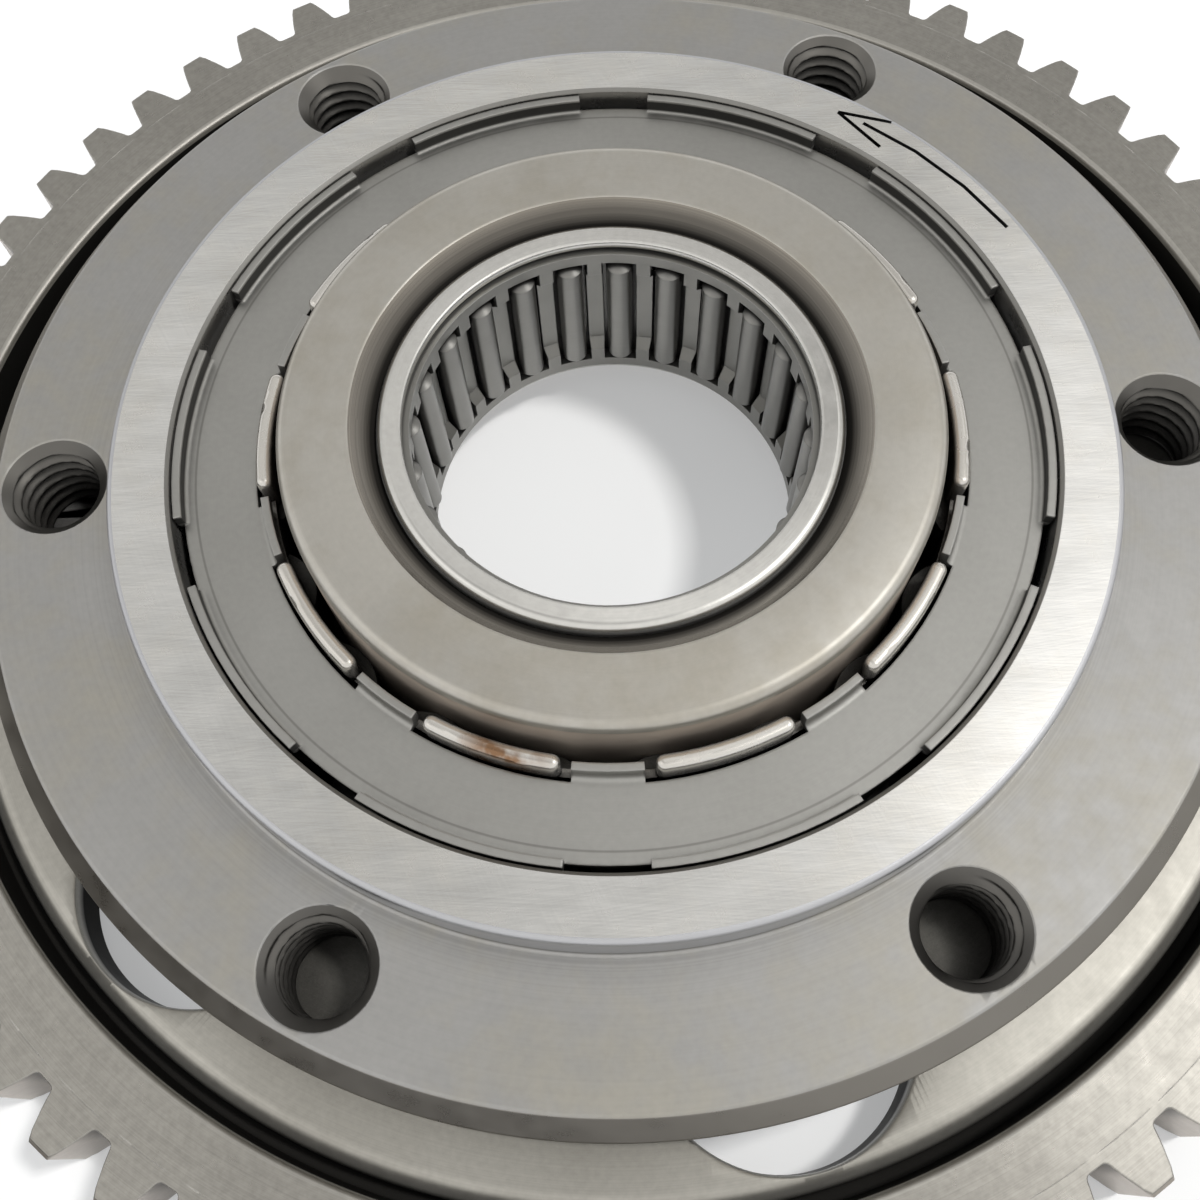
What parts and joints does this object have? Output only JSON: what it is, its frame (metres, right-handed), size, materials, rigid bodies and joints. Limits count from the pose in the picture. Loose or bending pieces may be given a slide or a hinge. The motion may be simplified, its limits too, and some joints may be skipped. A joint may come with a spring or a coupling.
{
  "type": "sprag clutch",
  "caption": "One-way sprag clutch: a grooved driven gear turns on a needle bearing, its hub ringed by caged sprags inside a flanged outer race that bolts to a flywheel.",
  "frame": {"origin": "on the shared axis of gear, races and bearing, at the plane of the gear's flat back", "axes": "+Z along the axis, from the gear towards the flange, spigot and hub end; +X and +Y in the gear's plane, with -Y towards the viewer of the picture"},
  "size_m": [0.1396, 0.1396, 0.0228],
  "materials": {
    "gear_steel": "ground and turned, satin",
    "race_steel": "ground ring, turned flange",
    "bearing_steel": "drawn, satin",
    "roller_steel": "polished",
    "cage_steel": "pressed sheet",
    "sprag_cage_steel": "pressed sheet, satin",
    "sprag_steel": "polished",
    "spring_steel": "rolled strip"
  },
  "bodies": {
    "gear": {"driven_gear": "gear_steel", "bearing_cup": "bearing_steel"},
    "housing": {"outer_race": "race_steel", "outer_cage": "sprag_cage_steel", "ribbon_spring": "spring_steel"},
    "inner_cage": {"inner_cage": "sprag_cage_steel"},
    "sprag_01": {"sprag_01": "sprag_steel"},
    "sprag_02": {"sprag_02": "sprag_steel"},
    "sprag_03": {"sprag_03": "sprag_steel"},
    "sprag_04": {"sprag_04": "sprag_steel"},
    "sprag_05": {"sprag_05": "sprag_steel"},
    "sprag_06": {"sprag_06": "sprag_steel"},
    "sprag_07": {"sprag_07": "sprag_steel"},
    "sprag_08": {"sprag_08": "sprag_steel"},
    "sprag_09": {"sprag_09": "sprag_steel"},
    "sprag_10": {"sprag_10": "sprag_steel"},
    "sprag_11": {"sprag_11": "sprag_steel"},
    "sprag_12": {"sprag_12": "sprag_steel"},
    "sprag_13": {"sprag_13": "sprag_steel"},
    "sprag_14": {"sprag_14": "sprag_steel"},
    "sprag_15": {"sprag_15": "sprag_steel"},
    "sprag_16": {"sprag_16": "sprag_steel"},
    "sprag_17": {"sprag_17": "sprag_steel"},
    "sprag_18": {"sprag_18": "sprag_steel"},
    "sprag_19": {"sprag_19": "sprag_steel"},
    "sprag_20": {"sprag_20": "sprag_steel"},
    "needle_cage": {"needle_cage": "cage_steel"},
    "needle_01": {"needle_01": "roller_steel"},
    "needle_02": {"needle_02": "roller_steel"},
    "needle_03": {"needle_03": "roller_steel"},
    "needle_04": {"needle_04": "roller_steel"},
    "needle_05": {"needle_05": "roller_steel"},
    "needle_06": {"needle_06": "roller_steel"},
    "needle_07": {"needle_07": "roller_steel"},
    "needle_08": {"needle_08": "roller_steel"},
    "needle_09": {"needle_09": "roller_steel"},
    "needle_10": {"needle_10": "roller_steel"},
    "needle_11": {"needle_11": "roller_steel"},
    "needle_12": {"needle_12": "roller_steel"},
    "needle_13": {"needle_13": "roller_steel"},
    "needle_14": {"needle_14": "roller_steel"},
    "needle_15": {"needle_15": "roller_steel"},
    "needle_16": {"needle_16": "roller_steel"},
    "needle_17": {"needle_17": "roller_steel"},
    "needle_18": {"needle_18": "roller_steel"},
    "needle_19": {"needle_19": "roller_steel"},
    "needle_20": {"needle_20": "roller_steel"},
    "needle_21": {"needle_21": "roller_steel"},
    "needle_22": {"needle_22": "roller_steel"},
    "needle_23": {"needle_23": "roller_steel"},
    "needle_24": {"needle_24": "roller_steel"}
  },
  "joints": [
    {"name": "housing_spin", "type": "hinge", "parent": "gear", "child": "housing", "pos_m": [0, 0, 0.0125], "axis": [0, 0, 1], "continuous": true},
    {"name": "sprag_tilt_01", "type": "hinge", "parent": "housing", "child": "sprag_01", "pos_m": [0.03151, 0.00387, 0.01252], "axis": [0, 0, 1], "range_deg": [0, 7.5], "stiffness_Nm_per_rad": 0.01, "springref_deg": -2.86},
    {"name": "sprag_tilt_02", "type": "hinge", "parent": "housing", "child": "sprag_02", "pos_m": [0.02878, 0.01342, 0.01252], "axis": [0, 0, 1], "range_deg": [0, 7.5]},
    {"name": "sprag_tilt_03", "type": "hinge", "parent": "housing", "child": "sprag_03", "pos_m": [0.02322, 0.02165, 0.01252], "axis": [0, 0, 1], "range_deg": [0, 7.5]},
    {"name": "sprag_tilt_04", "type": "hinge", "parent": "housing", "child": "sprag_04", "pos_m": [0.01539, 0.02777, 0.01252], "axis": [0, 0, 1], "range_deg": [0, 7.5]},
    {"name": "sprag_tilt_05", "type": "hinge", "parent": "housing", "child": "sprag_05", "pos_m": [0.00606, 0.03117, 0.01252], "axis": [0, 0, 1], "range_deg": [0, 7.5]},
    {"name": "sprag_tilt_06", "type": "hinge", "parent": "housing", "child": "sprag_06", "pos_m": [-0.00387, 0.03151, 0.01252], "axis": [0, 0, 1], "range_deg": [0, 7.5]},
    {"name": "sprag_tilt_07", "type": "hinge", "parent": "housing", "child": "sprag_07", "pos_m": [-0.01342, 0.02878, 0.01252], "axis": [0, 0, 1], "range_deg": [0, 7.5]},
    {"name": "sprag_tilt_08", "type": "hinge", "parent": "housing", "child": "sprag_08", "pos_m": [-0.02165, 0.02322, 0.01252], "axis": [0, 0, 1], "range_deg": [0, 7.5]},
    {"name": "sprag_tilt_09", "type": "hinge", "parent": "housing", "child": "sprag_09", "pos_m": [-0.02777, 0.01539, 0.01252], "axis": [0, 0, 1], "range_deg": [0, 7.5]},
    {"name": "sprag_tilt_10", "type": "hinge", "parent": "housing", "child": "sprag_10", "pos_m": [-0.03117, 0.00606, 0.01252], "axis": [0, 0, 1], "range_deg": [0, 7.5]},
    {"name": "sprag_tilt_11", "type": "hinge", "parent": "housing", "child": "sprag_11", "pos_m": [-0.03151, -0.00387, 0.01252], "axis": [0, 0, 1], "range_deg": [0, 7.5]},
    {"name": "sprag_tilt_12", "type": "hinge", "parent": "housing", "child": "sprag_12", "pos_m": [-0.02878, -0.01342, 0.01252], "axis": [0, 0, 1], "range_deg": [0, 7.5]},
    {"name": "sprag_tilt_13", "type": "hinge", "parent": "housing", "child": "sprag_13", "pos_m": [-0.02322, -0.02165, 0.01252], "axis": [0, 0, 1], "range_deg": [0, 7.5]},
    {"name": "sprag_tilt_14", "type": "hinge", "parent": "housing", "child": "sprag_14", "pos_m": [-0.01539, -0.02777, 0.01252], "axis": [0, 0, 1], "range_deg": [0, 7.5]},
    {"name": "sprag_tilt_15", "type": "hinge", "parent": "housing", "child": "sprag_15", "pos_m": [-0.00606, -0.03117, 0.01252], "axis": [0, 0, 1], "range_deg": [0, 7.5]},
    {"name": "sprag_tilt_16", "type": "hinge", "parent": "housing", "child": "sprag_16", "pos_m": [0.00387, -0.03151, 0.01252], "axis": [0, 0, 1], "range_deg": [0, 7.5]},
    {"name": "sprag_tilt_17", "type": "hinge", "parent": "housing", "child": "sprag_17", "pos_m": [0.01342, -0.02878, 0.01252], "axis": [0, 0, 1], "range_deg": [0, 7.5]},
    {"name": "sprag_tilt_18", "type": "hinge", "parent": "housing", "child": "sprag_18", "pos_m": [0.02165, -0.02322, 0.01252], "axis": [0, 0, 1], "range_deg": [0, 7.5]},
    {"name": "sprag_tilt_19", "type": "hinge", "parent": "housing", "child": "sprag_19", "pos_m": [0.02777, -0.01539, 0.01252], "axis": [0, 0, 1], "range_deg": [0, 7.5]},
    {"name": "sprag_tilt_20", "type": "hinge", "parent": "housing", "child": "sprag_20", "pos_m": [0.03117, -0.00606, 0.01252], "axis": [0, 0, 1], "range_deg": [0, 7.5]},
    {"name": "inner_cage_turn", "type": "hinge", "parent": "housing", "child": "inner_cage", "pos_m": [0, 0, 0.0125], "axis": [0, 0, 1], "range_deg": [-0.85, 0]},
    {"name": "needle_cage_spin", "type": "hinge", "parent": "gear", "child": "needle_cage", "pos_m": [0, 0, 0.01238], "axis": [0, 0, 1], "continuous": true},
    {"name": "needle_roll_01", "type": "hinge", "parent": "needle_cage", "child": "needle_01", "pos_m": [0.01675, 0.00323, 0.01238], "axis": [0, 0, 1], "continuous": true},
    {"name": "needle_roll_02", "type": "hinge", "parent": "needle_cage", "child": "needle_02", "pos_m": [0.01535, 0.00745, 0.01238], "axis": [0, 0, 1], "continuous": true},
    {"name": "needle_roll_03", "type": "hinge", "parent": "needle_cage", "child": "needle_03", "pos_m": [0.01289, 0.01117, 0.01238], "axis": [0, 0, 1], "continuous": true},
    {"name": "needle_roll_04", "type": "hinge", "parent": "needle_cage", "child": "needle_04", "pos_m": [0.00956, 0.01413, 0.01238], "axis": [0, 0, 1], "continuous": true},
    {"name": "needle_roll_05", "type": "hinge", "parent": "needle_cage", "child": "needle_05", "pos_m": [0.00558, 0.01612, 0.01238], "axis": [0, 0, 1], "continuous": true},
    {"name": "needle_roll_06", "type": "hinge", "parent": "needle_cage", "child": "needle_06", "pos_m": [0.00122, 0.01702, 0.01238], "axis": [0, 0, 1], "continuous": true},
    {"name": "needle_roll_07", "type": "hinge", "parent": "needle_cage", "child": "needle_07", "pos_m": [-0.00323, 0.01675, 0.01238], "axis": [0, 0, 1], "continuous": true},
    {"name": "needle_roll_08", "type": "hinge", "parent": "needle_cage", "child": "needle_08", "pos_m": [-0.00745, 0.01535, 0.01238], "axis": [0, 0, 1], "continuous": true},
    {"name": "needle_roll_09", "type": "hinge", "parent": "needle_cage", "child": "needle_09", "pos_m": [-0.01117, 0.01289, 0.01238], "axis": [0, 0, 1], "continuous": true},
    {"name": "needle_roll_10", "type": "hinge", "parent": "needle_cage", "child": "needle_10", "pos_m": [-0.01413, 0.00956, 0.01238], "axis": [0, 0, 1], "continuous": true},
    {"name": "needle_roll_11", "type": "hinge", "parent": "needle_cage", "child": "needle_11", "pos_m": [-0.01612, 0.00558, 0.01238], "axis": [0, 0, 1], "continuous": true},
    {"name": "needle_roll_12", "type": "hinge", "parent": "needle_cage", "child": "needle_12", "pos_m": [-0.01702, 0.00122, 0.01238], "axis": [0, 0, 1], "continuous": true},
    {"name": "needle_roll_13", "type": "hinge", "parent": "needle_cage", "child": "needle_13", "pos_m": [-0.01675, -0.00323, 0.01238], "axis": [0, 0, 1], "continuous": true},
    {"name": "needle_roll_14", "type": "hinge", "parent": "needle_cage", "child": "needle_14", "pos_m": [-0.01535, -0.00745, 0.01238], "axis": [0, 0, 1], "continuous": true},
    {"name": "needle_roll_15", "type": "hinge", "parent": "needle_cage", "child": "needle_15", "pos_m": [-0.01289, -0.01117, 0.01238], "axis": [0, 0, 1], "continuous": true},
    {"name": "needle_roll_16", "type": "hinge", "parent": "needle_cage", "child": "needle_16", "pos_m": [-0.00956, -0.01413, 0.01238], "axis": [0, 0, 1], "continuous": true},
    {"name": "needle_roll_17", "type": "hinge", "parent": "needle_cage", "child": "needle_17", "pos_m": [-0.00558, -0.01612, 0.01238], "axis": [0, 0, 1], "continuous": true},
    {"name": "needle_roll_18", "type": "hinge", "parent": "needle_cage", "child": "needle_18", "pos_m": [-0.00122, -0.01702, 0.01238], "axis": [0, 0, 1], "continuous": true},
    {"name": "needle_roll_19", "type": "hinge", "parent": "needle_cage", "child": "needle_19", "pos_m": [0.00323, -0.01675, 0.01238], "axis": [0, 0, 1], "continuous": true},
    {"name": "needle_roll_20", "type": "hinge", "parent": "needle_cage", "child": "needle_20", "pos_m": [0.00745, -0.01535, 0.01238], "axis": [0, 0, 1], "continuous": true},
    {"name": "needle_roll_21", "type": "hinge", "parent": "needle_cage", "child": "needle_21", "pos_m": [0.01117, -0.01289, 0.01238], "axis": [0, 0, 1], "continuous": true},
    {"name": "needle_roll_22", "type": "hinge", "parent": "needle_cage", "child": "needle_22", "pos_m": [0.01413, -0.00956, 0.01238], "axis": [0, 0, 1], "continuous": true},
    {"name": "needle_roll_23", "type": "hinge", "parent": "needle_cage", "child": "needle_23", "pos_m": [0.01612, -0.00558, 0.01238], "axis": [0, 0, 1], "continuous": true},
    {"name": "needle_roll_24", "type": "hinge", "parent": "needle_cage", "child": "needle_24", "pos_m": [0.01702, -0.00122, 0.01238], "axis": [0, 0, 1], "continuous": true}
  ],
  "couplings": [
    {"joint": "sprag_tilt_02", "follows": "sprag_tilt_01", "ratio": 1},
    {"joint": "sprag_tilt_03", "follows": "sprag_tilt_01", "ratio": 1},
    {"joint": "sprag_tilt_04", "follows": "sprag_tilt_01", "ratio": 1},
    {"joint": "sprag_tilt_05", "follows": "sprag_tilt_01", "ratio": 1},
    {"joint": "sprag_tilt_06", "follows": "sprag_tilt_01", "ratio": 1},
    {"joint": "sprag_tilt_07", "follows": "sprag_tilt_01", "ratio": 1},
    {"joint": "sprag_tilt_08", "follows": "sprag_tilt_01", "ratio": 1},
    {"joint": "sprag_tilt_09", "follows": "sprag_tilt_01", "ratio": 1},
    {"joint": "sprag_tilt_10", "follows": "sprag_tilt_01", "ratio": 1},
    {"joint": "sprag_tilt_11", "follows": "sprag_tilt_01", "ratio": 1},
    {"joint": "sprag_tilt_12", "follows": "sprag_tilt_01", "ratio": 1},
    {"joint": "sprag_tilt_13", "follows": "sprag_tilt_01", "ratio": 1},
    {"joint": "sprag_tilt_14", "follows": "sprag_tilt_01", "ratio": 1},
    {"joint": "sprag_tilt_15", "follows": "sprag_tilt_01", "ratio": 1},
    {"joint": "sprag_tilt_16", "follows": "sprag_tilt_01", "ratio": 1},
    {"joint": "sprag_tilt_17", "follows": "sprag_tilt_01", "ratio": 1},
    {"joint": "sprag_tilt_18", "follows": "sprag_tilt_01", "ratio": 1},
    {"joint": "sprag_tilt_19", "follows": "sprag_tilt_01", "ratio": 1},
    {"joint": "sprag_tilt_20", "follows": "sprag_tilt_01", "ratio": 1},
    {"joint": "inner_cage_turn", "follows": "sprag_tilt_01", "ratio": -0.105},
    {"joint": "needle_roll_01", "follows": "needle_cage_spin", "ratio": -15.52},
    {"joint": "needle_roll_02", "follows": "needle_cage_spin", "ratio": -15.52},
    {"joint": "needle_roll_03", "follows": "needle_cage_spin", "ratio": -15.52},
    {"joint": "needle_roll_04", "follows": "needle_cage_spin", "ratio": -15.52},
    {"joint": "needle_roll_05", "follows": "needle_cage_spin", "ratio": -15.52},
    {"joint": "needle_roll_06", "follows": "needle_cage_spin", "ratio": -15.52},
    {"joint": "needle_roll_07", "follows": "needle_cage_spin", "ratio": -15.52},
    {"joint": "needle_roll_08", "follows": "needle_cage_spin", "ratio": -15.52},
    {"joint": "needle_roll_09", "follows": "needle_cage_spin", "ratio": -15.52},
    {"joint": "needle_roll_10", "follows": "needle_cage_spin", "ratio": -15.52},
    {"joint": "needle_roll_11", "follows": "needle_cage_spin", "ratio": -15.52},
    {"joint": "needle_roll_12", "follows": "needle_cage_spin", "ratio": -15.52},
    {"joint": "needle_roll_13", "follows": "needle_cage_spin", "ratio": -15.52},
    {"joint": "needle_roll_14", "follows": "needle_cage_spin", "ratio": -15.52},
    {"joint": "needle_roll_15", "follows": "needle_cage_spin", "ratio": -15.52},
    {"joint": "needle_roll_16", "follows": "needle_cage_spin", "ratio": -15.52},
    {"joint": "needle_roll_17", "follows": "needle_cage_spin", "ratio": -15.52},
    {"joint": "needle_roll_18", "follows": "needle_cage_spin", "ratio": -15.52},
    {"joint": "needle_roll_19", "follows": "needle_cage_spin", "ratio": -15.52},
    {"joint": "needle_roll_20", "follows": "needle_cage_spin", "ratio": -15.52},
    {"joint": "needle_roll_21", "follows": "needle_cage_spin", "ratio": -15.52},
    {"joint": "needle_roll_22", "follows": "needle_cage_spin", "ratio": -15.52},
    {"joint": "needle_roll_23", "follows": "needle_cage_spin", "ratio": -15.52},
    {"joint": "needle_roll_24", "follows": "needle_cage_spin", "ratio": -15.52}
  ]
}
